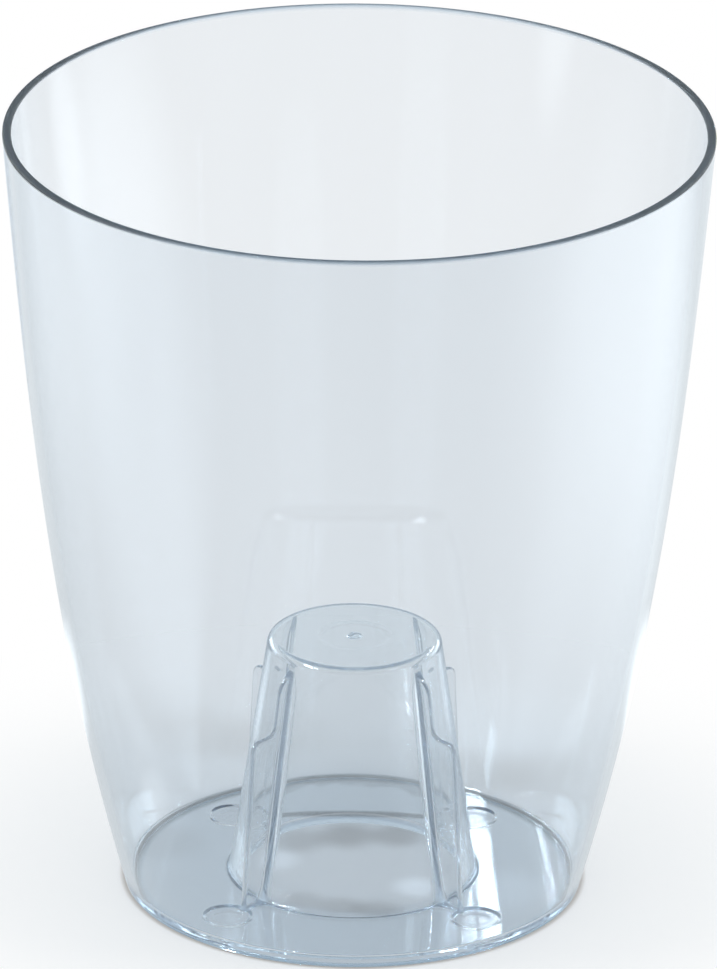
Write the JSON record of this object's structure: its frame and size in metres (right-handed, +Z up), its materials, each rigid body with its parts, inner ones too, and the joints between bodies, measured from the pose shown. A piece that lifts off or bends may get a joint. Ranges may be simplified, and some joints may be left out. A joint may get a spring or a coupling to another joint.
{
  "type": "orchid pot",
  "caption": "Clear plastic outer pot for an orchid: a tapered round cup whose floor rises into a hollow pedestal with stepped ribs.",
  "frame": {"origin": "on the pot's axis, in the plane it stands on", "axes": "+Z up along the pot's axis; the ribs stand at 45 degrees to X and Y; the picture looks along +Y"},
  "size_m": [0.126, 0.126, 0.1435],
  "materials": {
    "clear_plastic": "clear moulded polystyrene, glossy, with a faint cool tint"
  },
  "bodies": {
    "root": {"side_wall": "clear_plastic", "rim": "clear_plastic", "floor_plate": "clear_plastic", "standing_ring": "clear_plastic", "pedestal_side": "clear_plastic", "pedestal_top": "clear_plastic", "rib_1": "clear_plastic", "rib_2": "clear_plastic", "rib_3": "clear_plastic", "rib_4": "clear_plastic", "foot_1": "clear_plastic", "foot_2": "clear_plastic", "foot_3": "clear_plastic", "foot_4": "clear_plastic"}
  },
  "joints": []
}
